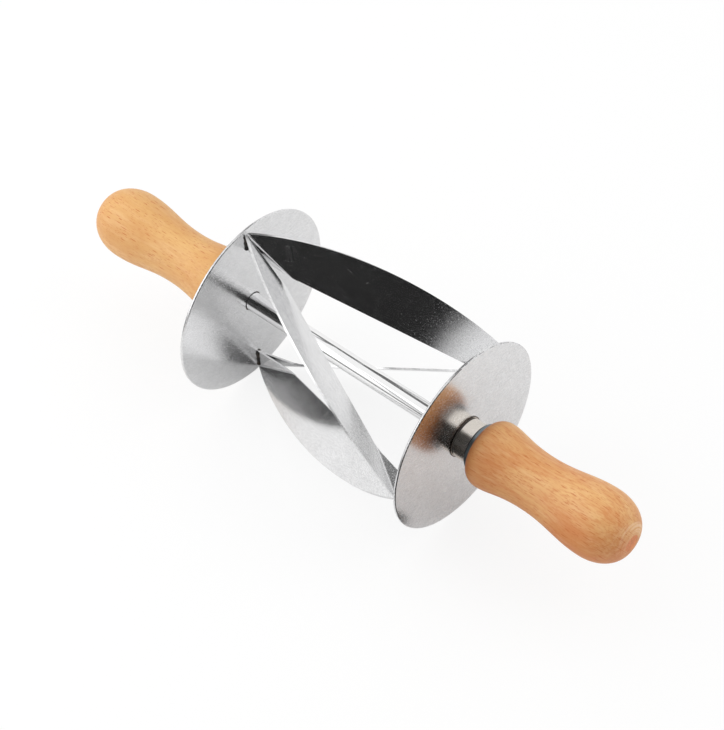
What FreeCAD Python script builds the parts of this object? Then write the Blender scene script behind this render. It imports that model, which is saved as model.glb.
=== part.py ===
import FreeCAD, Part
import math
import os

# Croissant cutter roller. Two round end discs are joined by four folded blades that run corner to
# corner, so that one turn on the dough cuts a row of triangles. The drum turns freely on a steel rod
# with a turned wooden handle on each end.
# Millimetres. +X runs along the rod from the left handle to the right one, +Z is up, and the origin
# is on the rod, halfway between the discs.

# Drum
disc_diameter = 100.0
disc_thickness = 1.4
disc_gap = 133.0
disc_edge_round = 0.4
disc_hole_clearance = 0.45

# Blades, with the angles of their corners on each disc counted from +Y towards +Z
blade_thickness = 1.0
blade_middle_width = 23.4
blade_rim_inset = 1.6
blade_fold_length = 30.0
blade_weld_length = 10.8
blade_inside_bend = 2.0
left_corner_angle = 90.0
right_corner_angle = 0.0

# Rod
rod_diameter = 9.6
spigot_diameter = 8.0
spigot_end_chamfer = 0.5

# Hubs, welded outside the discs
collar_diameter = 20.5
collar_length = 8.4
collar_end_chamfer = 0.5
collar_foot_diameter = 21.8
collar_foot_thickness = 0.35
collar_groove_depth = 0.45
collar_groove_width = 0.45
bush_diameter = 13.0
bush_mouth_chamfer = 0.4

# Washers between a hub and its handle
thrust_washer_diameter = 22.4
thrust_washer_thickness = 0.6
ferrule_diameter = 24.0
ferrule_thickness = 1.6
ferrule_edge_round = 0.4

# Handles
handle_length = 87.0
handle_tip_rim = 0.3
handle_bulb_diameter = 35.6
handle_bulb_from_tip = 19.0
handle_waist_diameter = 28.3
handle_waist_from_tip = 54.0
handle_flare_diameter = 34.2
handle_flare_from_foot = 7.5
handle_foot_diameter = 21.6
handle_screw_hole_length = 9.0

# Fullness of the handle's curves, as the share of each stretch that runs on straight at its ends
tip_fullness = 0.5
bulb_outer_fullness = 0.6
bulb_inner_fullness = 0.38
waist_tip_side_fullness = 0.42
waist_foot_side_fullness = 0.55
flare_inner_fullness = 0.25
flare_outer_fullness = 0.6
foot_fullness = 0.55

# Screw, washer and plug inside each handle
screw_diameter = 5.0
screw_grip_in_rod = 18.0
screw_head_diameter = 8.4
screw_head_height = 5.0
screw_head_room = 5.6
screw_socket_width = 4.0
screw_socket_depth = 2.6
screw_washer_thickness = 1.0
plug_diameter = 8.8
plug_length = 7.0
plug_edge_chamfer = 0.3

# Fits
running_clearance = 0.05
roller_end_play = 0.12
assembly_clearance = 0.1
seat_clearance = 0.03
rod_end_room = 1.0

# How far uncut stock runs past the faces that trim it
bar_overrun = 1.0
sheet_overrun_share = 0.25

# Worked out from the sizes above
disc_radius = disc_diameter / 2
blade_radius = disc_radius - blade_rim_inset
inner_face_x = disc_gap / 2
outer_face_x = inner_face_x + disc_thickness
collar_end_x = outer_face_x + collar_length
thrust_washer_x = collar_end_x + roller_end_play
shoulder_x = thrust_washer_x + thrust_washer_thickness
handle_foot_x = shoulder_x + ferrule_thickness
handle_tip_x = handle_foot_x + handle_length
plug_inner_x = handle_tip_x - plug_length
screw_head_end_x = plug_inner_x - screw_head_room
screw_head_x = screw_head_end_x - screw_head_height
screw_seat_x = screw_head_x - screw_washer_thickness
spigot_bore_end_x = screw_seat_x - handle_screw_hole_length
spigot_end_x = spigot_bore_end_x - rod_end_room
screw_tip_x = spigot_end_x - screw_grip_in_rod
spigot_bore_radius = spigot_diameter / 2 + assembly_clearance
screw_hole_radius = screw_diameter / 2 + assembly_clearance
counterbore_radius = plug_diameter / 2 + seat_clearance
handle_tip_flat_diameter = plug_diameter + 2 * handle_tip_rim
origin = FreeCAD.Vector(0, 0, 0)
axis_x = FreeCAD.Vector(1, 0, 0)
axis_z = FreeCAD.Vector(0, 0, 1)
space_size = 4 * (disc_gap + disc_diameter)


def drum_point(x, angle, radius):
    """A point at a place along the rod, an angle from +Y towards +Z, and a radius."""
    turn = math.radians(angle)
    return FreeCAD.Vector(x, radius * math.cos(turn), radius * math.sin(turn))


def turned(outline):
    """A piece turned about the rod's axis from corners (x, radius)."""
    corners = [FreeCAD.Vector(x, 0, radius) for x, radius in outline]
    face = Part.Face(Part.makePolygon(corners + corners[:1]))
    return face.revolve(origin, axis_x, 360)


def ring(start_x, end_x, outer_radius, inner_radius):
    """A plain ring about the rod's axis."""
    return turned([(start_x, inner_radius), (start_x, outer_radius),
                   (end_x, outer_radius), (end_x, inner_radius)])


def round_bar(start_x, end_x, radius):
    """A round bar on the rod's axis."""
    return Part.makeCylinder(radius, end_x - start_x, FreeCAD.Vector(start_x, 0, 0), axis_x)


def left_twin(shape):
    """The mirrored left-hand twin of a right-hand piece."""
    return shape.mirror(origin, axis_x)


def space_beside(point, direction):
    """All the space on one side of a plane, as a large block."""
    block = Part.makeBox(space_size, space_size, space_size,
                         FreeCAD.Vector(-space_size / 2, -space_size / 2, 0))
    block.Placement = FreeCAD.Placement(point, FreeCAD.Rotation(axis_z, direction))
    return block


def sheet(corners, normal):
    """A flat sheet of the blade's thickness about a middle plane."""
    outline = [corner - normal * (blade_thickness / 2) for corner in corners]
    return Part.Face(Part.makePolygon(outline + outline[:1])).extrude(normal * blade_thickness)


def disc():
    """The right end disc, with both edges of its rim rounded and a clear hole for the rod."""
    blank = round_bar(inner_face_x, outer_face_x, disc_radius)
    blank = blank.makeFillet(disc_edge_round, blank.Edges)
    hole_radius = rod_diameter / 2 + disc_hole_clearance
    return blank.cut(round_bar(inner_face_x - bar_overrun, outer_face_x + bar_overrun, hole_radius))


def folded_end(weld_corner, weld_foot, fold_corner, panel_middle):
    """One end of a blade: the triangle folded over to lie along the disc's radius.

    The fold runs from the corner at the rim to the inner corner of the panel. Both flat parts stop
    where the bend starts, and the bend between them is a strip of tube. The inner edge was one
    straight cut before folding, so the bend ends on a slant between the two inner edges.
    """
    fold = (weld_corner - fold_corner).normalize()
    flap_edge = (weld_foot - fold_corner).normalize()
    panel_edge = (panel_middle - fold_corner).normalize()
    across_flap = (flap_edge - fold * flap_edge.dot(fold)).normalize()
    across_panel = (panel_edge - fold * panel_edge.dot(fold)).normalize()
    inward = (across_flap + across_panel).normalize()
    bend_angle = math.pi - across_flap.getAngle(across_panel)
    middle_radius = blade_inside_bend + blade_thickness / 2
    setback = middle_radius * math.tan(bend_angle / 2)
    flap_side = space_beside(fold_corner + across_flap * setback, across_flap)
    panel_side = space_beside(fold_corner + across_panel * setback, across_panel)

    stretch = 1 + sheet_overrun_share
    flap_corners = [fold_corner,
                    fold_corner + (weld_corner - fold_corner) * stretch,
                    fold_corner + (weld_foot - fold_corner) * stretch]
    flap = sheet(flap_corners, fold.cross(across_flap)).common(flap_side)

    overrun = blade_fold_length * sheet_overrun_share
    length = blade_fold_length + 2 * overrun
    start = fold_corner + inward * (middle_radius / math.cos(bend_angle / 2)) - fold * overrun
    outside = Part.makeCylinder(blade_inside_bend + blade_thickness, length, start, fold)
    bend = outside.cut(Part.makeCylinder(blade_inside_bend, length, start, fold))
    bend = bend.cut(flap_side).cut(panel_side)
    flap_end = fold_corner + flap_edge * (setback / flap_edge.dot(across_flap))
    panel_end = fold_corner + panel_edge * (setback / panel_edge.dot(across_panel))
    kept_side = inward.cross(flap_end - panel_end)
    if kept_side.dot(fold) < 0:
        kept_side = kept_side * -1
    return flap, bend.common(space_beside(panel_end, kept_side)), panel_side


def blade(left_angle, right_angle):
    """One blade, from a corner on the left disc to the next corner round on the right disc.

    Its panel lies in a plane through the rod's axis point at the origin, so the drum's surface cuts
    its outer edge to part of an ellipse. Each end is trimmed to its own side of the corner that it
    shares with the next blade.
    """
    radial = drum_point(0, (left_angle + right_angle) / 2, 1)
    left_corner = drum_point(-inner_face_x, left_angle, blade_radius)
    right_corner = drum_point(inner_face_x, right_angle, blade_radius)
    along = (right_corner - left_corner).normalize()
    half_chord = (right_corner - left_corner).Length / 2
    inner_height = blade_radius - blade_middle_width
    panel_middle = radial * inner_height
    fold_drop = left_corner.dot(radial) - inner_height
    half_inner_edge = half_chord - math.sqrt(blade_fold_length ** 2 - fold_drop ** 2)
    left_fold = panel_middle - along * half_inner_edge
    right_fold = panel_middle + along * half_inner_edge

    stretch = 1 + sheet_overrun_share
    crest = radial * (blade_radius * stretch)
    folded = sheet([left_fold, left_fold + (left_corner - left_fold) * stretch,
                    crest - along * half_chord, crest + along * half_chord,
                    right_fold + (right_corner - right_fold) * stretch, right_fold],
                   radial.cross(along))
    ends = ((-inner_face_x, left_angle, left_corner, left_fold),
            (inner_face_x, right_angle, right_corner, right_fold))
    strips = []
    for face_x, angle, corner, fold_corner in ends:
        weld_foot = drum_point(face_x, angle, blade_radius - blade_weld_length)
        flap, bend, panel_side = folded_end(corner, weld_foot, fold_corner, panel_middle)
        folded = folded.common(panel_side)
        strips += [flap, bend]
    folded = folded.multiFuse(strips)
    folded = folded.common(round_bar(-inner_face_x, inner_face_x, blade_radius))
    for face_x, angle, corner, fold_corner in ends:
        own_side = drum_point(0, angle + 90, 1)
        if own_side.dot(radial) < 0:
            own_side = own_side * -1
        folded = folded.common(space_beside(origin, own_side))
    return folded.removeSplitter()


def axle_rod():
    """The polished rod, turned down at each end to a spigot with a tapped hole for the screw."""
    bar = round_bar(-shoulder_x, shoulder_x, rod_diameter / 2)
    spigot_radius = spigot_diameter / 2
    spigot = turned([(0, 0), (0, spigot_radius), (spigot_end_x - spigot_end_chamfer, spigot_radius),
                     (spigot_end_x, spigot_radius - spigot_end_chamfer), (spigot_end_x, 0)])
    tapped_hole = round_bar(screw_tip_x - rod_end_room, spigot_end_x + bar_overrun,
                            screw_diameter / 2 + seat_clearance)
    rod = bar.multiFuse([spigot, left_twin(spigot)])
    return rod.cut(tapped_hole).cut(left_twin(tapped_hole)).removeSplitter()


def hub_collar():
    """The turned collar, with a thin foot against the disc and a groove beside it."""
    bore = bush_diameter / 2 + seat_clearance
    foot = collar_foot_diameter / 2
    body = collar_diameter / 2
    groove = body - collar_groove_depth
    foot_end = outer_face_x + collar_foot_thickness
    groove_end = foot_end + collar_groove_width
    return turned([(outer_face_x, bore), (outer_face_x, foot), (foot_end, foot), (foot_end, groove),
                   (groove_end, groove), (groove_end + collar_groove_depth, body),
                   (collar_end_x - collar_end_chamfer, body), (collar_end_x, body - collar_end_chamfer),
                   (collar_end_x, bore)])


def hub_bush():
    """The bearing bush inside the collar, with a running fit on the rod."""
    bore = rod_diameter / 2 + running_clearance
    outside = bush_diameter / 2
    return turned([(outer_face_x, bore), (outer_face_x, outside), (collar_end_x, outside),
                   (collar_end_x, bore + bush_mouth_chamfer),
                   (collar_end_x - bush_mouth_chamfer, bore)])


def thrust_washer():
    """The dark slip washer that the hub runs against."""
    return ring(thrust_washer_x, shoulder_x, thrust_washer_diameter / 2,
                rod_diameter / 2 + assembly_clearance)


def ferrule_washer():
    """The steel washer clamped between the rod's shoulder and the handle, with a rounded rim."""
    blank = round_bar(shoulder_x, handle_foot_x, ferrule_diameter / 2)
    blank = blank.makeFillet(ferrule_edge_round, blank.Edges)
    return blank.cut(round_bar(shoulder_x - bar_overrun, handle_foot_x + bar_overrun,
                               spigot_bore_radius))


def curve(start, start_pull, end, end_pull):
    """A smooth edge that leaves each end along its pull."""
    bezier = Part.BezierCurve()
    bezier.setPoles([start, start + start_pull, end + end_pull, end])
    return bezier.toShape()


def handle():
    """The turned handle, bored for the rod's spigot and counterbored for the screw."""
    foot = FreeCAD.Vector(handle_foot_x, 0, handle_foot_diameter / 2)
    flare = FreeCAD.Vector(handle_foot_x + handle_flare_from_foot, 0, handle_flare_diameter / 2)
    waist = FreeCAD.Vector(handle_tip_x - handle_waist_from_tip, 0, handle_waist_diameter / 2)
    bulb = FreeCAD.Vector(handle_tip_x - handle_bulb_from_tip, 0, handle_bulb_diameter / 2)
    tip = FreeCAD.Vector(handle_tip_x, 0, handle_tip_flat_diameter / 2)
    foot_centre = FreeCAD.Vector(handle_foot_x, 0, 0)
    tip_centre = FreeCAD.Vector(handle_tip_x, 0, 0)
    shoulder = axis_x * (flare.x - foot.x)
    neck = axis_x * (waist.x - flare.x)
    grip = axis_x * (bulb.x - waist.x)
    nose = axis_x * (tip.x - bulb.x)
    edges = [Part.makeLine(foot_centre, foot),
             curve(foot, axis_z * (foot_fullness * (flare.z - foot.z)),
                   flare, shoulder * -flare_outer_fullness),
             curve(flare, neck * flare_inner_fullness, waist, neck * -waist_foot_side_fullness),
             curve(waist, grip * waist_tip_side_fullness, bulb, grip * -bulb_inner_fullness),
             curve(bulb, nose * bulb_outer_fullness, tip, axis_z * (tip_fullness * (bulb.z - tip.z))),
             Part.makeLine(tip, tip_centre),
             Part.makeLine(tip_centre, foot_centre)]
    body = Part.Face(Part.Wire(edges)).revolve(origin, axis_x, 360)
    bores = [round_bar(handle_foot_x - bar_overrun, spigot_bore_end_x, spigot_bore_radius),
             round_bar(handle_foot_x, screw_seat_x + bar_overrun, screw_hole_radius),
             round_bar(screw_seat_x, handle_tip_x + bar_overrun, counterbore_radius)]
    for bore in bores:
        body = body.cut(bore)
    return body


def handle_screw():
    """The socket-head screw that draws the handle onto the rod."""
    socket_x = screw_head_end_x - screw_socket_depth
    shank = round_bar(screw_tip_x, socket_x, screw_diameter / 2)
    head = round_bar(screw_head_x, screw_head_end_x, screw_head_diameter / 2)
    socket_corner = screw_socket_width / math.sqrt(3)
    corners = [drum_point(socket_x, 60 * turn, socket_corner) for turn in range(7)]
    socket = Part.Face(Part.makePolygon(corners)).extrude(axis_x * (screw_socket_depth + bar_overrun))
    return shank.fuse(head).cut(socket).removeSplitter()


def screw_washer():
    """The washer under the screw's head."""
    return ring(screw_seat_x, screw_head_x, counterbore_radius - assembly_clearance,
                screw_hole_radius)


def end_plug():
    """The wooden plug that closes the counterbore, flush with the handle's tip."""
    radius = plug_diameter / 2
    return turned([(plug_inner_x, 0), (plug_inner_x, radius - plug_edge_chamfer),
                   (plug_inner_x + plug_edge_chamfer, radius), (handle_tip_x, radius),
                   (handle_tip_x, 0)])


def save(name, shape):
    """Write one piece to its own file."""
    shape.exportStep("parts/" + name + ".step")
    print(name, "solids", len(shape.Solids), "valid", shape.isValid(), "volume", round(shape.Volume, 1))


os.makedirs("parts", exist_ok=True)
save("axle_rod", axle_rod())
opposite_left = left_corner_angle + 180
opposite_right = right_corner_angle + 180
save("blade_top_back", blade(left_corner_angle, right_corner_angle))
save("blade_top_front", blade(left_corner_angle, opposite_right))
save("blade_bottom_front", blade(opposite_left, opposite_right))
save("blade_bottom_back", blade(opposite_left, opposite_right + 180))
twins = {"disc": disc, "hub_collar": hub_collar, "hub_bush": hub_bush,
         "thrust_washer": thrust_washer, "ferrule_washer": ferrule_washer, "handle": handle,
         "handle_screw": handle_screw, "screw_washer": screw_washer, "end_plug": end_plug}
for piece_name, make_piece in twins.items():
    right_piece = make_piece()
    save("right_" + piece_name, right_piece)
    save("left_" + piece_name, left_twin(right_piece))
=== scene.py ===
"""Finish and studio for a hand roller that cuts dough into croissant triangles.

The construction is loaded as a fixed frame. Every metal and wooden piece gets its own finish, the
welds that the construction leaves out are modelled on the drum, and the roller is set on a pale
studio floor under soft light. Metres, in the frame's own axes: +X along the rod towards the right
handle, +Z up, and the origin on the rod halfway between the discs.
"""

import math

import bmesh
import bpy
from bpy.props import FloatProperty, FloatVectorProperty, PointerProperty
from bpy.types import Operator, Panel, PropertyGroup
from mathutils import Matrix, Quaternion, Vector


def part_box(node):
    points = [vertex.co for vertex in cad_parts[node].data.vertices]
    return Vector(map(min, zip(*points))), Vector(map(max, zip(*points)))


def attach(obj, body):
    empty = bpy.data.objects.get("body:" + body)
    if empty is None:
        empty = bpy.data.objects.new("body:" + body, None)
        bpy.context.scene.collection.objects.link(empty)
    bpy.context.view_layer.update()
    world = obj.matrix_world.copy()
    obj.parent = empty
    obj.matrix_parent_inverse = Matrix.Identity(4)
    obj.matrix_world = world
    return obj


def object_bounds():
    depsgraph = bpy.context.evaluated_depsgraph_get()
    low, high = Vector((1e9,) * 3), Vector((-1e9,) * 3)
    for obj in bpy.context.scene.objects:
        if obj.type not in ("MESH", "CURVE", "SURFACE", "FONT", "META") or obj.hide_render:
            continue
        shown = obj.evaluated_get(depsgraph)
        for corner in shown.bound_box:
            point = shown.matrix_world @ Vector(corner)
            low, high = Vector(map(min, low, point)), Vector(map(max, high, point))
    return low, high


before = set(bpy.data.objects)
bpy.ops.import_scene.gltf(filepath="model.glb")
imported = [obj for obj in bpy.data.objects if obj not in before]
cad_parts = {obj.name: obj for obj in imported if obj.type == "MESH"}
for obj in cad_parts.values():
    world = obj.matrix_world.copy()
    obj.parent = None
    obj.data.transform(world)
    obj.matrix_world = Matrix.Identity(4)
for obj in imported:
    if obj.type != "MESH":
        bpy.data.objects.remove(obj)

bl_info = {
    "name": "Croissant cutter roller",
    "version": (1, 0, 0),
    "blender": (4, 5, 0),
    "location": "3D View > Sidebar > Roller",
    "description": "Finishes the roller's steel and beech and sets it up in a small photo studio",
    "category": "Object",
}

SIDES = ("left", "right")
CAD_BOX = [list(corner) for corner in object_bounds()]
MM = 0.001


def millimetres(low_or_high):
    """A corner of a piece's box in millimetres."""
    return [value / MM for value in low_or_high]


DISC_LOW, DISC_HIGH = (millimetres(corner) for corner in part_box("right_disc"))
HANDLE_LOW, HANDLE_HIGH = (millimetres(corner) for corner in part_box("right_handle"))
COLLAR_LOW, COLLAR_HIGH = (millimetres(corner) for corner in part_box("right_hub_collar"))
DISC_RADIUS = DISC_HIGH[2]
INNER_FACE_X = DISC_LOW[0]
HANDLE_TIP_X = HANDLE_HIGH[0]
BODY_RADIUS = COLLAR_HIGH[2] - 0.65
GROOVE_END_X = COLLAR_LOW[0] + 0.8
WAIST_X = 113.0
DARK_FELT = 0.02
WELD_OUTER = 47.0
WELD_LENGTH = 8.8


def colour(name, description, value):
    """A colour setting, linear, as the shaders read it."""
    return FloatVectorProperty(name=name, description=description, subtype="COLOR", size=3,
                               min=0.0, max=1.0, default=value)


class SteelSettings(PropertyGroup):
    """Colours and polish of the steel pieces."""

    sheet_tint: colour("Sheet", "Cold rolled sheet of the discs and blades", (0.76, 0.76, 0.765))
    rod_tint: colour("Rod", "Polished bar of the rod", (0.90, 0.90, 0.90))
    collar_tint: colour("Collars", "Turned and polished hub collars", (0.91, 0.85, 0.775))
    ferrule_tint: colour("Ferrule washers", "Blue-grey washers in front of the wood", (0.24, 0.28, 0.31))
    # Partly painted shade: the welds' dark tint, which also gives the painted shade at the disc rims.
    weld_and_shade_tint: colour("Welds", "Weld beads at the blades' corners, heat-darkened and darkened further with painted shade; also the painted shade at the disc rims", (0.085, 0.08, 0.078))
    # Painted shade: the dark rim of a collar's foot, where the collar meets the disc.
    foot_shade_tint: colour("Collar feet", "Painted shade on the rim of a collar's thin foot", (0.10, 0.078, 0.065))
    heat_tint: colour("Weld heat", "Browned patches on the weld beads", (0.13, 0.105, 0.085))
    # The bushes are dark bronze.
    bush_tint: colour("Bushes", "Dark bronze bushes", (0.150, 0.108, 0.075))
    # Painted shade: the slip washers' near black stands for the gap between collar and ferrule washer.
    gap_shade_tint: colour("Slip washers", "Dark washers beside the hubs, painted with the gap's shade", (0.05, 0.055, 0.065))
    zinc_tint: colour("Screws", "Zinc plating of the screws and their washers", (0.62, 0.63, 0.66))
    # Painted shade: the near black groove behind a collar's foot.
    groove_shade_tint: colour("Groove shade", "Painted shade in the groove behind a collar's foot", (0.035, 0.03, 0.028))
    disc_roughness: FloatProperty(name="Disc roughness", description="Blur of the discs' reflections",
                                  default=0.22, min=0.0, max=1.0)
    blade_roughness: FloatProperty(name="Blade roughness", description="Blur of the blades' reflections",
                                   default=0.14, min=0.0, max=1.0)
    collar_roughness: FloatProperty(name="Collar roughness", description="Blur of the collars' reflections",
                                    default=0.20, min=0.0, max=1.0)
    rod_roughness: FloatProperty(name="Rod roughness", description="Blur of the rod's reflections",
                                 default=0.06, min=0.0, max=1.0)


class WoodSettings(PropertyGroup):
    """Colours and figure of the beech handles."""

    left_pale: colour("Left pale", "Early wood of the left handle", (0.77, 0.46, 0.175))
    left_deep: colour("Left deep", "Late wood of the left handle", (0.67, 0.325, 0.105))
    right_pale: colour("Right pale", "Early wood of the right handle", (0.79, 0.465, 0.190))
    # The deep colours are also painted shade on a handle's shaded side.
    right_deep: colour("Right deep", "Late wood of the right handle", (0.63, 0.215, 0.058))
    fleck: colour("Flecks", "Ray flecks along the grain", (0.54, 0.130, 0.020))
    bloom: colour("Bloom", "Paler, pinker streaks in the wood", (0.86, 0.56, 0.315))
    # The end-grain bands are stronger on the top as a painted highlight.
    end_grain: colour("End grain", "Pale bands on the rounded tips", (0.88, 0.62, 0.40))
    plug: colour("Plug", "End grain of the tip plugs", (0.70, 0.235, 0.075))
    ring_spacing: FloatProperty(name="Ring spacing", description="Year ring spacing in millimetres",
                                default=3.4, min=0.5, max=20.0)
    fleck_length: FloatProperty(name="Fleck length", description="Length of a fleck in millimetres",
                                default=3.6, min=0.5, max=20.0)
    fleck_width: FloatProperty(name="Fleck width", description="Width of a fleck in millimetres",
                               default=0.34, min=0.05, max=3.0)


class StudioSettings(PropertyGroup):
    """Light, floor and camera."""

    key_power: FloatProperty(name="Key light", description="Power of the large lamp at upper left",
                             default=4.6, min=0.0, unit="POWER")
    rim_power: FloatProperty(name="Rim light", description="Power of the lamp behind on the right",
                             default=3.6, min=0.0, unit="POWER")
    fill_power: FloatProperty(name="Fill light", description="Power of the lamp in front",
                              default=3.6, min=0.0, unit="POWER")
    sheen_power: FloatProperty(name="Sheen light", description="Power of the lamp that the steel mirrors",
                               default=1.25, min=0.0, unit="POWER")
    sky_level: FloatProperty(name="Sky", description="Strength of the even light from all round",
                             default=0.50, min=0.0, max=1.0)
    floor_tint: colour("Floor", "Pale studio floor", (0.94, 0.94, 0.94))
    floor_lift: FloatProperty(name="Floor lift", description="Share of plain white that the floor shows",
                              subtype="FACTOR", default=0.85, min=0.0, max=1.0)
    gloss_lift: FloatProperty(name="Gloss lift", description="The same share in reflections of the floor",
                              subtype="FACTOR", default=0.22, min=0.0, max=1.0)
    camera_azimuth: FloatProperty(name="Camera azimuth", description="Angle round the roller from -Y",
                                  subtype="ANGLE", default=math.radians(41.024))
    camera_elevation: FloatProperty(name="Camera elevation", description="Angle above the floor",
                                    subtype="ANGLE", default=math.radians(47.268))
    camera_distance: FloatProperty(name="Camera distance", description="From the middle of the rod",
                                   subtype="DISTANCE", unit="LENGTH", default=1.28863)
    drum_turn: FloatProperty(name="Drum turn", description="How far the drum of the photograph is turned",
                             subtype="ANGLE", default=math.radians(-3.5))


class Wire:
    """An output of a shader node. Python arithmetic on wires adds Math nodes."""

    def __init__(self, sheet, output):
        self.sheet = sheet
        self.output = output

    def maths(self, operation, *values):
        """A Math node on these numbers and wires, in order."""
        return self.sheet.node("Math", {"operation": operation}, dict(enumerate(values)))

    def __add__(self, other):
        return self.maths("ADD", self, other)

    __radd__ = __add__

    def __sub__(self, other):
        return self.maths("SUBTRACT", self, other)

    def __rsub__(self, other):
        return self.maths("SUBTRACT", other, self)

    def __mul__(self, other):
        return self.maths("MULTIPLY", self, other)

    __rmul__ = __mul__

    def __truediv__(self, other):
        return self.maths("DIVIDE", self, other)

    def __rtruediv__(self, other):
        return self.maths("DIVIDE", other, self)

    def __pow__(self, other):
        return self.maths("POWER", self, other)


class Finish:
    """A new material and its shader nodes."""

    def __init__(self, name):
        self.material = bpy.data.materials.new(name)
        self.material.use_nodes = True
        self.tree = self.material.node_tree
        self.shader = self.tree.nodes["Principled BSDF"]
        self.place = self.vector("MULTIPLY", self.node("TexCoord", output="Object"), (1 / MM,) * 3)

    def node(self, kind, settings=None, inputs=None, output=0):
        """A node with its settings made first, then the values or wires of its sockets."""
        made = self.tree.nodes.new("ShaderNode" + kind)
        for name, value in (settings or {}).items():
            if name == "stops":
                set_stops(made.color_ramp, value)
            else:
                setattr(made, name, value)
        for key, value in (inputs or {}).items():
            if isinstance(value, Wire):
                self.tree.links.new(value.output, made.inputs[key])
            else:
                made.inputs[key].default_value = value
        return Wire(self, made.outputs[output])

    def vector(self, operation, first, second, output=0):
        """A Vector Math node on two vectors."""
        return self.node("VectorMath", {"operation": operation}, {0: first, 1: second}, output)

    def along(self, direction):
        """The place along a direction, in millimetres."""
        return self.vector("DOT_PRODUCT", self.place, tuple(direction), "Value")

    def axes(self):
        """The place as three wires, x, y and z, in millimetres."""
        return [self.node("SeparateXYZ", {}, {0: self.place}, axis) for axis in "XYZ"]

    def point(self, x, y, z):
        """A vector from three numbers or wires."""
        return self.node("CombineXYZ", {}, {0: x, 1: y, 2: z})

    def noise(self, vector, scale=1.0, detail=2.0, roughness=0.5, distortion=0.0):
        """Soft noise from 0 to 1 about a half."""
        return self.node("TexNoise", {}, {"Vector": vector, "Scale": scale, "Detail": detail,
                                          "Roughness": roughness, "Distortion": distortion}, "Fac")

    def rise(self, value, low, high, start=0.0, end=1.0):
        """A smooth step from start at low to end at high."""
        return self.node("MapRange", {"interpolation_type": "SMOOTHSTEP"},
                         {"Value": value, "From Min": low, "From Max": high,
                          "To Min": start, "To Max": end})

    def mix(self, first, second, share, way="MIX"):
        """Two colours mixed, with the second one's share."""
        first, second = (value if isinstance(value, Wire) else (*value, 1.0)
                         for value in (first, second))
        return self.node("Mix", {"data_type": "RGBA", "blend_type": way},
                         {0: share, 6: first, 7: second}, 2)

    def bump(self, height, depth, strength=1.0):
        """Surface relief, with the depth in millimetres that a height of 1 stands for."""
        return self.node("Bump", {}, {"Height": height, "Distance": depth * MM,
                                      "Strength": strength}, "Normal")

    def feed(self, **sockets):
        """Join the shader's sockets, named with _ for a space, to wires or plain values."""
        for name, value in sockets.items():
            socket = self.shader.inputs[name.replace("_", " ")]
            if isinstance(value, Wire):
                self.tree.links.new(value.output, socket)
            else:
                socket.default_value = value
        return self.material


def set_stops(ramp, stops):
    """Give a colour ramp its stops, each a place and a grey or colour."""
    while len(ramp.elements) < len(stops):
        ramp.elements.new(1.0)
    for element, (place, shade) in zip(ramp.elements, stops):
        element.position = place
        element.color = (shade, shade, shade, 1.0) if isinstance(shade, float) else (*shade, 1.0)


def dress(node_name, material):
    """Give a piece of the frame its finish."""
    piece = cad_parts[node_name]
    piece.data.materials.clear()
    piece.data.materials.append(material)


def settings(context):
    """The three groups of settings."""
    scene = context.scene
    return scene.roller_steel, scene.roller_wood, scene.roller_studio


def brushed_sheet(name, tint, roughness, length_way, width_way, streak_length, streak_width, waviness,
                  worn_end=0.0):
    """Sheet steel with fine rolling lines, a faint mottle and a few longer scratches.

    Waviness is how deep, in millimetres, the broad dents of hand work are, and worn_end is how
    much duller the sheet is at the drum's right end. The finish and its shade come back, so that
    a piece can add to them.
    """
    steel = Finish(name)
    along = steel.along(length_way)
    across = steel.along(width_way)
    x, y, z = steel.axes()
    depth = x * 0.37 + y * 0.21 + z * 0.29
    dents = steel.noise(steel.place, scale=0.045, detail=1.0)
    lines = steel.noise(steel.point(along / streak_length, across / streak_width, depth), detail=3.0)
    mottle = steel.noise(steel.place, scale=0.12, detail=2.0)
    grit = steel.noise(steel.place, scale=1.7, detail=3.0)
    scratches = steel.rise(steel.noise(steel.point(along / 26.0, across / 0.30, depth * 0.2),
                                       detail=1.0), 0.70, 0.76)
    streak = steel.rise(lines, 0.30, 0.70)
    speck = steel.rise(grit, 0.34, 0.66)
    shade = steel.mix([part * 0.80 for part in tint], [min(1.0, part * 1.17) for part in tint],
                      streak * 0.50 + speck * 0.40 + steel.rise(mottle, 0.34, 0.66) * 0.10)
    shade = steel.mix(shade, [part * 0.84 for part in tint], scratches * 0.35)
    worn = steel.rise(x, 10.0, 40.0) * worn_end
    steel.feed(Base_Color=shade, Metallic=1.0,
               Roughness=(roughness + lines * 0.10 + mottle * 0.05 - 0.075 + scratches * 0.08 + worn
                          + steel.rise(grit, 0.52, 0.74) * 0.12),
               Normal=steel.bump(lines * 0.0036 + grit * 0.0030 + dents * waviness, 1.0))
    return steel, shade


class ROLLER_OT_discs(Operator):
    """Finish the two end discs in satin sheet steel"""

    bl_idname = "roller.discs"
    bl_label = "Finish the discs"

    def execute(self, context):
        steel = settings(context)[0]
        for side in SIDES:
            sheet, shade = brushed_sheet(side + "_disc_steel", steel.sheet_tint, steel.disc_roughness,
                                         (0, 1, 0), (0, 0, 1), streak_length=3.5,
                                         streak_width=0.22, waviness=0.02)
            x, y, z = sheet.axes()
            radius = (y * y + z * z) ** 0.5
            # Painted shade: a broken dark line along the rim's outer edge.
            torn = sheet.rise(sheet.noise(sheet.place, scale=0.35, detail=3.0), 0.46, 0.54)
            rim_shade = (sheet.rise(radius, DISC_RADIUS - 0.30, DISC_RADIUS - 0.12)
                    * sheet.rise(x.maths("ABSOLUTE", x), DISC_HIGH[0] - 0.34, DISC_HIGH[0] - 0.20) * torn)
            dress(side + "_disc", sheet.feed(Base_Color=sheet.mix(shade, steel.weld_and_shade_tint, rim_shade * 0.9)))
        return {"FINISHED"}


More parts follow.
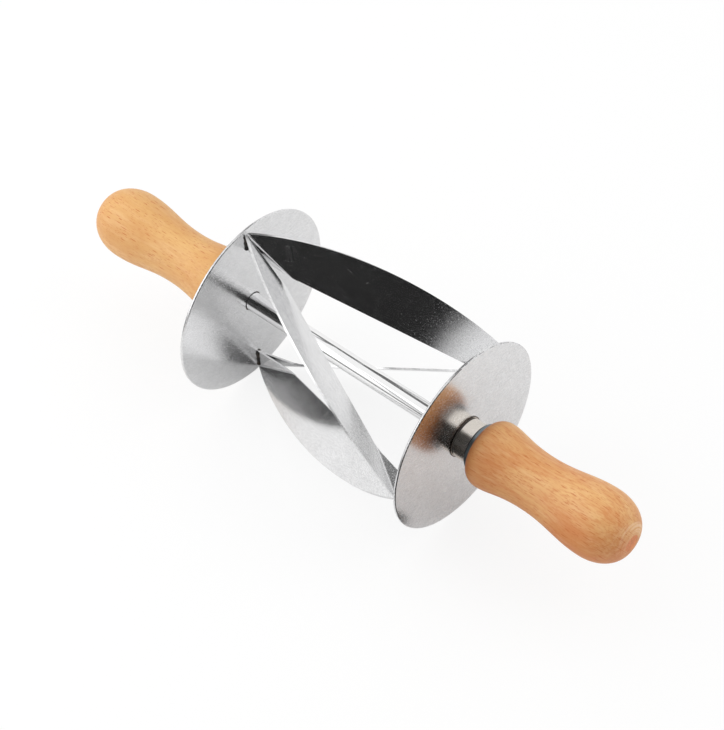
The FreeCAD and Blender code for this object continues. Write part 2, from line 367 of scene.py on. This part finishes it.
def blade_ways(node_name):
    """A blade's long way and its way out from the rod, from the names of its two corners."""
    height = 1 if "_top_" in node_name else -1
    reach = 1 if node_name.endswith("back") else -1
    left_corner = Vector((-INNER_FACE_X, 0, height * DISC_RADIUS))
    right_corner = Vector((INNER_FACE_X, reach * DISC_RADIUS, 0))
    return (right_corner - left_corner).normalized(), (left_corner + right_corner).normalized()


class ROLLER_OT_blades(Operator):
    """Finish the four folded blades in brushed sheet steel"""

    bl_idname = "roller.blades"
    bl_label = "Finish the blades"

    def execute(self, context):
        steel = settings(context)[0]
        for node_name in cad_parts:
            if node_name.startswith("blade_"):
                long_way, out_way = blade_ways(node_name)
                sheet = brushed_sheet(node_name + "_steel", steel.sheet_tint, steel.blade_roughness,
                                      long_way, out_way, streak_length=5.0, streak_width=0.20,
                                      waviness=0.10, worn_end=0.12)[0]
                dress(node_name, sheet.material)
        return {"FINISHED"}


def weld_metal(steel):
    """Weld bead with a heat-darkened, slightly scaly skin, darker still as painted shade of the corner it
    fills.
    """
    bead = Finish("weld_bead_steel")
    scale = bead.noise(bead.place, scale=1.3, detail=3.0)
    heat = bead.noise(bead.place, scale=0.30, detail=1.0)
    # Heat tint, and painted shade of the corner between blade and disc.
    shade = bead.mix([part * 0.35 for part in steel.weld_and_shade_tint], steel.weld_and_shade_tint, scale)
    shade = bead.mix(shade, steel.heat_tint, bead.rise(heat, 0.52, 0.66) * 0.5)
    return bead.feed(Base_Color=shade, Metallic=1.0, Roughness=0.34 + scale * 0.22,
                     Normal=bead.bump(scale, 0.05))


def weld_runs(name, disc_x, angle, steel_finish):
    """The two weld runs that hold a pair of folded blade ends to a disc at one corner.

    Each run is a row of overlapping drops in the corner between the disc and one blade, from
    close to the rim inwards along the disc's radius.
    """
    form = bmesh.new()
    inwards = -math.copysign(1.0, disc_x)
    drops = 8
    for side in (-1.0, 1.0):
        for drop in range(drops):
            share = drop / (drops - 1)
            size = 0.72 + 0.16 * math.sin(2.3 * drop + side) + 0.12 * share
            place = Vector((disc_x + inwards * 0.18, side * (0.62 + 0.06 * math.cos(1.7 * drop)),
                            WELD_OUTER - share * WELD_LENGTH))
            shape = Matrix.Translation(place) @ Matrix.Diagonal((size, size * 0.95, 0.98, 1.0))
            bmesh.ops.create_icosphere(form, subdivisions=2, radius=1.0, matrix=shape)
    turn = Matrix.Rotation(angle, 4, "X")
    bmesh.ops.transform(form, matrix=Matrix.Scale(MM, 4) @ turn, verts=form.verts)
    for face in form.faces:
        face.smooth = True
    mesh = bpy.data.meshes.new(name)
    form.to_mesh(mesh)
    form.free()
    mesh.materials.append(steel_finish)
    welds = bpy.data.objects.new(name, mesh)
    bpy.context.scene.collection.objects.link(welds)
    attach(welds, "cutting_drum")


class ROLLER_OT_welds(Operator):
    """Lay the weld beads that join the blades to the discs"""

    bl_idname = "roller.welds"
    bl_label = "Lay the welds"

    def execute(self, context):
        metal = weld_metal(settings(context)[0])
        weld_runs("welds_left_top", -INNER_FACE_X, 0.0, metal)
        weld_runs("welds_left_bottom", -INNER_FACE_X, math.pi, metal)
        weld_runs("welds_right_front", INNER_FACE_X, math.pi / 2, metal)
        weld_runs("welds_right_back", INNER_FACE_X, -math.pi / 2, metal)
        return {"FINISHED"}


def turned_steel(name, tint, roughness, line_width, line_depth):
    """Bar steel turned or polished on a lathe, with fine lines round it and faint stains."""
    steel = Finish(name)
    x, y, z = steel.axes()
    lines = steel.noise(steel.point(x / line_width, y * 0.02, z * 0.02), detail=3.0)
    stain = steel.noise(steel.place, scale=0.11, detail=3.0)
    shade = steel.mix([part * 0.94 for part in tint], [min(1.0, part * 1.04) for part in tint], stain)
    return steel.feed(Base_Color=shade, Metallic=1.0,
                      Roughness=roughness + lines * 0.04 + stain * 0.03 - 0.035,
                      Normal=steel.bump(lines, line_depth))


class ROLLER_OT_rod(Operator):
    """Finish the rod in polished steel"""

    bl_idname = "roller.rod"
    bl_label = "Finish the rod"

    def execute(self, context):
        steel = settings(context)[0]
        dress("axle_rod", turned_steel("rod_steel", steel.rod_tint, steel.rod_roughness, 0.25, 0.0008))
        return {"FINISHED"}


def grooved_collar(name, steel):
    """A turned collar whose thin foot and the groove beside it are darkened with painted shade."""
    collar = Finish(name)
    x, y, z = collar.axes()
    lines = collar.noise(collar.point(x / 0.18, y * 0.02, z * 0.02), detail=3.0)
    stain = collar.noise(collar.place, scale=0.11, detail=3.0)
    radius = (y * y + z * z) ** 0.5
    reach = x.maths("ABSOLUTE", x)
    # Painted shade: the groove is near black and matte, and the foot's rim is dark, where the collar meets
    # the disc.
    low_end = collar.rise(reach, GROOVE_END_X, GROOVE_END_X + 0.12, 1.0, 0.0)
    sunk = low_end * collar.rise(radius, BODY_RADIUS - 0.30, BODY_RADIUS - 0.02, 1.0, 0.0)
    foot = low_end * collar.rise(radius, BODY_RADIUS + 0.02, BODY_RADIUS + 0.20)
    shade = collar.mix([part * 0.94 for part in steel.collar_tint],
                       [part * 1.04 for part in steel.collar_tint], stain)
    shade = collar.mix(shade, steel.foot_shade_tint, foot)
    return collar.feed(Base_Color=collar.mix(shade, steel.groove_shade_tint, sunk * 0.95),
                       Metallic=1 - sunk,
                       Roughness=steel.collar_roughness + lines * 0.04 + stain * 0.03 + sunk * 0.5,
                       Normal=collar.bump(lines, 0.002))


class ROLLER_OT_hubs(Operator):
    """Finish the hub collars in turned steel, with painted shade in their grooves, and their bushes in dark
    bronze
    """

    bl_idname = "roller.hubs"
    bl_label = "Finish the hubs"

    def execute(self, context):
        steel = settings(context)[0]
        for side in SIDES:
            dress(side + "_hub_collar", grooved_collar(side + "_collar_steel", steel))
            dress(side + "_hub_bush", turned_steel(side + "_bush_bronze", steel.bush_tint, 0.42,
                                                   0.2, 0.004))
        return {"FINISHED"}


class ROLLER_OT_washers(Operator):
    """Finish the slip washers, dark as painted shade of the gap beside the collars, and the blue-grey
    ferrule washers
    """

    bl_idname = "roller.washers"
    bl_label = "Finish the washers"

    def execute(self, context):
        steel = settings(context)[0]
        for side in SIDES:
            dress(side + "_ferrule_washer", turned_steel(side + "_ferrule_steel", steel.ferrule_tint,
                                                         0.30, 0.3, 0.003))
            # Painted shade: the slip washer is near black for the shaded gap between collar and ferrule
            # washer.
            slip = Finish(side + "_slip_fibre")
            speck = slip.noise(slip.place, scale=1.8, detail=3.0)
            dress(side + "_thrust_washer",
                  slip.feed(Base_Color=slip.mix([part * 0.24 for part in steel.gap_shade_tint],
                                                steel.gap_shade_tint, speck),
                            Roughness=0.45 + speck * 0.2, Normal=slip.bump(speck, 0.02)))
        return {"FINISHED"}


def ray_flecks(finish, x, round_way, radius, seed, cell, length, width):
    """Spindle-shaped flecks along the grain, one to a cell, uneven in place, size and strength."""
    spots = finish.point(x / cell[0] + seed, round_way / cell[1], radius / cell[2])
    near = {"Vector": spots, "Scale": 1.0, "Randomness": 1.0}
    middle = finish.node("TexVoronoi", {"feature": "F1"}, near, "Position")
    luck = finish.node("TexVoronoi", {"feature": "F1"}, near, "Color")
    strength = finish.node("SeparateColor", {}, {0: luck}, "Red")
    size = finish.node("SeparateColor", {}, {0: luck}, "Green") * 0.9 + 0.55
    wander = finish.noise(finish.point(x / 2.2, round_way / 1.1, radius / 6.0 + seed), detail=2.0)
    away = finish.vector("MULTIPLY", finish.vector("SUBTRACT", spots, middle),
                         (2 * cell[0] / length, 2 * cell[1] / width, 0.4))
    spread = finish.vector("LENGTH", away, (0, 0, 0), "Value") / size
    return (finish.rise(spread + wander * 0.5 - 0.25, 0.45, 1.10, 1.0, 0.0)
            * finish.rise(strength, 0.15, 0.80))


def beech(name, wood, pale, deep, pith, shaded_side, seed):
    """Oiled beech. The year rings run round a pith off to one side, and the rays are thin plates. The
    shaded side gets painted shade.
    """
    finish = Finish(name)
    x, y, z = finish.axes()
    slow = finish.noise(finish.point(x / 46.0 + seed, y / 15.0, z / 15.0))
    out_y = y - pith[0]
    out_z = z - pith[1]
    radius = (out_y * out_y + out_z * out_z) ** 0.5
    round_way = out_y.maths("ARCTAN2", out_z, out_y) * math.hypot(*pith)

    ring = (radius + slow * 11.0) / wood.ring_spacing
    ring = ring.maths("FRACT", ring)
    late = finish.rise(ring, 0.30, 0.93) * (1 - finish.rise(ring, 0.93, 1.0))
    fibre = finish.noise(finish.point(x / 9.0 + seed, round_way / 0.72, radius / 0.8), detail=3.0)
    strand = finish.noise(finish.point(x / 22.0 + seed, round_way / 1.6, radius / 2.0), detail=3.0)
    patch = finish.noise(finish.point(x / 30.0 + seed * 2.0, y / 12.0, z / 12.0), detail=2.0)
    cluster = finish.rise(finish.noise(finish.point(x / 20.0, y / 8.0, z / 8.0 + seed)), 0.38, 0.62)

    flecks = ray_flecks(finish, x, round_way, radius, seed, (6.0, 2.3, 10.0), wood.fleck_length,
                        wood.fleck_width)
    small = ray_flecks(finish, x, round_way, radius, seed + 5.0, (2.4, 0.80, 7.0),
                       wood.fleck_length * 0.48, wood.fleck_width * 0.75)

    reach = x.maths("ABSOLUTE", x)
    off_waist = reach.maths("ABSOLUTE", reach - WAIST_X)
    # Painted shade: the deep colour grows towards the shaded side and away from the waist; with no side
    # given it is even all round.
    side_shade = finish.rise(finish.along(shaded_side), -13.0, 15.0) * finish.rise(off_waist, 5.0, 22.0, 0.3, 1.0)
    shade = finish.mix(pale, deep, finish.rise(patch, 0.36, 0.66, 0.0, 0.48) + late * 0.16
                       + side_shade * 0.62)
    shade = finish.mix(shade, wood.bloom, finish.rise(strand, 0.46, 0.70) * 0.20)
    shoulder = finish.rise(reach, HANDLE_LOW[0] + 7.0, HANDLE_LOW[0] + 0.5)
    shade = finish.mix(shade, [part * 0.85 for part in wood.plug], shoulder * 0.75)
    # More painted shade towards the tip on the shaded side.
    tip_shade = finish.rise(finish.along(shaded_side), 3.0, 16.0) * finish.rise(reach, 133.0, 149.0)
    shade = finish.mix(shade, deep, tip_shade * 0.55)
    shade = finish.mix(shade, deep, finish.rise(fibre, 0.57, 0.33) * 0.50)
    shade = finish.mix(shade, wood.fleck, flecks * 0.72)
    shade = finish.mix(shade, wood.fleck, small * (0.22 + cluster * 0.40))

    axle = (y * y + z * z) ** 0.5
    bands = finish.noise(finish.point(axle / 0.75, x / 3.0, round_way / 10.0 + seed), detail=3.0)
    tip = finish.rise(reach, HANDLE_TIP_X - 5.5, HANDLE_TIP_X - 0.5)
    # End-grain bands, shown mostly on the upper side as a painted highlight.
    lit_top = finish.rise(finish.along((0, 0.5, 0.85)), -2.0, 9.0)
    shade = finish.mix(shade, wood.end_grain,
                       tip * finish.rise(bands, 0.44, 0.66) * (lit_top * 0.50 + 0.08))
    return finish.feed(Base_Color=shade, Roughness=0.44 + fibre * 0.12 + flecks * 0.10,
                       Normal=finish.bump(fibre, 0.02),
                       Coat_Weight=0.06, Coat_Roughness=0.32)


class ROLLER_OT_handles(Operator):
    """Finish the turned beech handles"""

    bl_idname = "roller.handles"
    bl_label = "Finish the handles"

    def execute(self, context):
        wood = settings(context)[1]
        dress("left_handle", beech("left_beech", wood, wood.left_pale, wood.left_deep, (52.0, -74.0),
                                   (0, 0, 0), 3.1))
        # The right handle's lower front side is given painted shade.
        dress("right_handle", beech("right_beech", wood, wood.right_pale, wood.right_deep,
                                    (44.0, -80.0), (0, -0.64, -0.77), 8.4))
        return {"FINISHED"}


class ROLLER_OT_plugs(Operator):
    """Finish the end plugs in red-brown end grain"""

    bl_idname = "roller.plugs"
    bl_label = "Finish the plugs"

    def execute(self, context):
        wood = settings(context)[1]
        for side in SIDES:
            plug = Finish(side + "_plug_wood")
            x, y, z = plug.axes()
            pores = plug.noise(plug.point(x * 0.1, y / 0.35, z / 0.35), detail=3.0)
            rings = plug.noise(plug.point(x * 0.1, y / 1.6, z / 6.0), detail=2.0)
            shade = plug.mix(wood.plug, [part * 0.6 for part in wood.plug], plug.rise(pores, 0.45, 0.75))
            shade = plug.mix(shade, [part * 1.35 for part in wood.plug], plug.rise(rings, 0.5, 0.7) * 0.5)
            dress(side + "_end_plug", plug.feed(Base_Color=shade, Roughness=0.5 + pores * 0.15,
                                                Normal=plug.bump(pores, 0.04)))
        return {"FINISHED"}


class ROLLER_OT_screws(Operator):
    """Finish the handle screws and their washers in zinc-plated steel"""

    bl_idname = "roller.screws"
    bl_label = "Finish the screws"

    def execute(self, context):
        steel = settings(context)[0]
        for side in SIDES:
            for piece in ("_handle_screw", "_screw_washer"):
                dress(side + piece, turned_steel(side + piece + "_zinc", steel.zinc_tint, 0.3,
                                                 0.5, 0.006))
        return {"FINISHED"}


def aimed(location, target):
    """The turn that makes a lamp, camera or card at a place face a target."""
    return (Vector(target) - Vector(location)).to_track_quat("-Z", "Y")


def area_lamp(name, location, size, power, mirrored=False):
    """A soft, square, white lamp that faces the roller. Steel shows it only where mirrored is true."""
    data = bpy.data.lights.new(name, "AREA")
    data.shape = "SQUARE"
    data.size = size
    data.energy = power
    lamp = bpy.data.objects.new(name, data)
    lamp.location = location
    lamp.rotation_mode = "QUATERNION"
    lamp.rotation_quaternion = aimed(location, (0, 0, 0))
    lamp.visible_glossy = mirrored
    bpy.context.scene.collection.objects.link(lamp)


def flat_card(name, location, target, width, height, material):
    """A flat rectangular card that faces a target."""
    mesh = bpy.data.meshes.new(name)
    form = bmesh.new()
    bmesh.ops.create_grid(form, x_segments=1, y_segments=1, size=0.5)
    bmesh.ops.scale(form, vec=(width, height, 1.0), verts=form.verts)
    turn = aimed(location, target).to_matrix().to_4x4()
    bmesh.ops.transform(form, matrix=Matrix.Translation(location) @ turn, verts=form.verts)
    form.to_mesh(mesh)
    form.free()
    mesh.materials.append(material)
    card = bpy.data.objects.new(name, mesh)
    bpy.context.scene.collection.objects.link(card)


def curved_flag(name, shade, foot, distance, angles, heights):
    """A curved felt flag round the roller, which only reflections show.

    Angles and heights are in degrees. It goes from one angle to the other, counted from -Y towards
    +X, and between the two heights that the roller sees it at. With a low height of 0 it stands on
    the floor, and its foot lies on the floor towards the roller. It gives polished steel the dark
    streaks that dark studio sides do.
    """
    start, end = (math.radians(angle) for angle in angles)
    bottom, top = (math.radians(height) for height in heights)
    floor = CAD_BOX[0][2]
    form = bmesh.new()
    profile = [(0, -foot, floor)] if foot < distance else []
    profile += [(0, -distance, math.tan(bottom) * distance if bottom > 0 else floor),
                (0, -distance, math.tan(top) * distance)]
    corners = [bmesh.ops.create_vert(form, co=place)["vert"][0] for place in profile]
    for first, second in zip(corners, corners[1:]):
        bmesh.ops.contextual_create(form, geom=[first, second])
    bmesh.ops.rotate(form, cent=(0, 0, 0), matrix=Matrix.Rotation(start, 3, "Z"), verts=form.verts)
    bmesh.ops.spin(form, geom=form.verts[:] + form.edges[:], cent=(0, 0, 0), axis=(0, 0, 1),
                   angle=end - start, steps=24)
    lay_felt(name, form, shade)


def felt_strip(name, shade, middle, turn, length, width):
    """A straight strip of felt on the floor, turned about Z, which only reflections show."""
    form = bmesh.new()
    bmesh.ops.create_grid(form, x_segments=1, y_segments=1, size=0.5)
    bmesh.ops.scale(form, vec=(length, width, 1.0), verts=form.verts)
    place = Matrix.Translation((*middle, CAD_BOX[0][2])) @ Matrix.Rotation(turn, 4, "Z")
    bmesh.ops.transform(form, matrix=place, verts=form.verts)
    lay_felt(name, form, shade)


def lay_felt(name, form, shade):
    """Make a form a felt flag that polished steel mirrors and nothing else sees."""
    felt = Finish(name + "_felt")
    nap = felt.noise(felt.place, scale=0.4, detail=2.0)
    felt.feed(Base_Color=felt.mix((shade,) * 3, (shade * 1.2,) * 3, nap), Roughness=1.0,
              Specular_IOR_Level=0.0)
    mesh = bpy.data.meshes.new(name)
    form.to_mesh(mesh)
    form.free()
    mesh.materials.append(felt.material)
    flag = bpy.data.objects.new(name, mesh)
    bpy.context.scene.collection.objects.link(flag)
    flag.visible_camera = False
    flag.visible_diffuse = False
    flag.visible_shadow = False


def floor_paper(studio):
    """White paper that stays near white to the camera and in reflections, and keeps its shadow."""
    paper = Finish("floor_paper")
    tooth = paper.noise(paper.place, scale=0.5, detail=2.0)
    paper.feed(Base_Color=paper.mix([part * 0.995 for part in studio.floor_tint], studio.floor_tint,
                                    tooth), Roughness=0.9, Specular_IOR_Level=0.0)
    white = paper.node("Emission", {}, {"Color": (1.0, 1.0, 1.0, 1.0), "Strength": 1.0})
    to_camera = paper.node("LightPath", output="Is Camera Ray")
    in_gloss = paper.node("LightPath", output="Is Glossy Ray")
    seen = to_camera * studio.floor_lift + in_gloss * studio.gloss_lift
    lifted = paper.node("MixShader", {}, {0: seen, 1: Wire(paper, paper.shader.outputs[0]), 2: white})
    paper.tree.links.new(lifted.output, paper.tree.nodes["Material Output"].inputs["Surface"])
    return paper.material


def studio_world(sky_level):
    """White behind the roller and in its reflections, and an even, plain light on its surfaces."""
    world = bpy.data.worlds.new("studio_world")
    bpy.context.scene.world = world
    world.use_nodes = True
    tree = world.node_tree
    background = tree.nodes["Background"]
    background.inputs["Color"].default_value = (1.0, 1.0, 1.0, 1.0)
    rays = tree.nodes.new("ShaderNodeLightPath")
    seen = None
    for ray in ("Is Camera Ray", "Is Glossy Ray", "Is Transmission Ray"):
        if seen is None:
            seen = rays.outputs[ray]
            continue
        either = tree.nodes.new("ShaderNodeMath")
        either.operation = "MAXIMUM"
        tree.links.new(seen, either.inputs[0])
        tree.links.new(rays.outputs[ray], either.inputs[1])
        seen = either.outputs[0]
    level = tree.nodes.new("ShaderNodeMapRange")
    level.inputs["To Min"].default_value = sky_level
    level.inputs["To Max"].default_value = 1.0
    tree.links.new(seen, level.inputs["Value"])
    tree.links.new(level.outputs[0], background.inputs["Strength"])


def studio_camera(studio):
    """The photograph's view, as a camera turned and placed about the middle of the rod."""
    focal_pixels = 2693.25
    image_width, image_height = 724, 730
    sensor = 36.0
    rod_middle_x, rod_middle_y = 355.19, 366.28
    azimuth = studio.camera_azimuth
    elevation = studio.camera_elevation
    back = Vector((math.sin(azimuth) * math.cos(elevation), -math.cos(azimuth) * math.cos(elevation),
                   math.sin(elevation)))
    right = Vector((math.cos(azimuth), math.sin(azimuth), 0))
    turn = Quaternion((1, 0, 0), studio.drum_turn)
    back = turn @ back
    right = turn @ right
    up = back.cross(right)
    per_pixel = studio.camera_distance / focal_pixels
    aside = (rod_middle_x - image_width / 2) * per_pixel
    above = (image_height / 2 - rod_middle_y) * per_pixel
    data = bpy.data.cameras.new("studio_camera")
    data.sensor_width = sensor
    data.lens = focal_pixels * sensor / image_height
    data.clip_end = 50.0
    camera = bpy.data.objects.new("studio_camera", data)
    camera.rotation_mode = "QUATERNION"
    camera.location = back * studio.camera_distance - right * aside - up * above
    camera.rotation_quaternion = Matrix((right, up, back)).transposed().to_quaternion()
    bpy.context.scene.collection.objects.link(camera)
    bpy.context.scene.camera = camera


class ROLLER_OT_studio(Operator):
    """Set up the floor, the soft lamps, the felt flags and the camera"""

    bl_idname = "roller.studio"
    bl_label = "Set up the studio"

    def execute(self, context):
        studio = settings(context)[2]
        context.scene.view_settings.view_transform = "Standard"
        studio_world(studio.sky_level)
        flat_card("studio_floor", (0, 0, CAD_BOX[0][2] - 0.0002), (0, 0, -1), 8.0, 8.0,
                  floor_paper(studio))
        area_lamp("key_lamp", (-0.55, 0.12, 0.90), 1.2, studio.key_power)
        area_lamp("rim_lamp", (0.60, 0.50, 0.78), 0.9, studio.rim_power)
        area_lamp("fill_lamp", (-0.50, -0.70, 0.50), 1.1, studio.fill_power)
        area_lamp("mirrored_lamp", (-0.68, -0.60, 0.50), 0.8, studio.sheen_power, mirrored=True)
        curved_flag("front_flag", DARK_FELT, 0.115, 0.70, angles=(14, 70), heights=(0, 67))
        curved_flag("side_flag", DARK_FELT, 0.24, 0.70, angles=(70, 92), heights=(0, 36))
        curved_flag("overhead_flag", 0.34, 0.75, 0.75, angles=(-18, 14), heights=(30, 72))
        curved_flag("low_flag", 0.22, 0.32, 0.72, angles=(-45, -5), heights=(0, 4))
        curved_flag("back_flag", 0.18, 0.60, 0.60, angles=(180, 235), heights=(36, 74))
        felt_strip("side_felt", DARK_FELT, (0.205, -0.138), math.radians(-17.7), 0.30, 0.144)
        studio_camera(studio)
        return {"FINISHED"}


class ROLLER_PT_panel(Panel):
    """Settings and steps of the roller's finish"""

    bl_label = "Croissant cutter roller"
    bl_space_type = "VIEW_3D"
    bl_region_type = "UI"
    bl_category = "Roller"

    def draw(self, context):
        for group in settings(context):
            box = self.layout.box()
            for name in group.__annotations__:
                box.prop(group, name)
        for operator in OPERATORS:
            self.layout.operator(operator.bl_idname)


OPERATORS = (ROLLER_OT_discs, ROLLER_OT_blades, ROLLER_OT_welds, ROLLER_OT_rod, ROLLER_OT_hubs,
             ROLLER_OT_washers, ROLLER_OT_handles, ROLLER_OT_plugs, ROLLER_OT_screws,
             ROLLER_OT_studio)
GROUPS = {"roller_steel": SteelSettings, "roller_wood": WoodSettings, "roller_studio": StudioSettings}


def register():
    for group in GROUPS.values():
        bpy.utils.register_class(group)
    for name, group in GROUPS.items():
        setattr(bpy.types.Scene, name, PointerProperty(type=group))
    for operator in OPERATORS:
        bpy.utils.register_class(operator)
    bpy.utils.register_class(ROLLER_PT_panel)


def unregister():
    bpy.utils.unregister_class(ROLLER_PT_panel)
    for operator in reversed(OPERATORS):
        bpy.utils.unregister_class(operator)
    for name, group in GROUPS.items():
        delattr(bpy.types.Scene, name)
        bpy.utils.unregister_class(group)


def main():
    register()
    bpy.ops.roller.discs()
    bpy.ops.roller.blades()
    bpy.ops.roller.welds()
    bpy.ops.roller.rod()
    bpy.ops.roller.hubs()
    bpy.ops.roller.washers()
    bpy.ops.roller.handles()
    bpy.ops.roller.plugs()
    bpy.ops.roller.screws()
    bpy.ops.roller.studio()


if __name__ == "__main__":
    main()
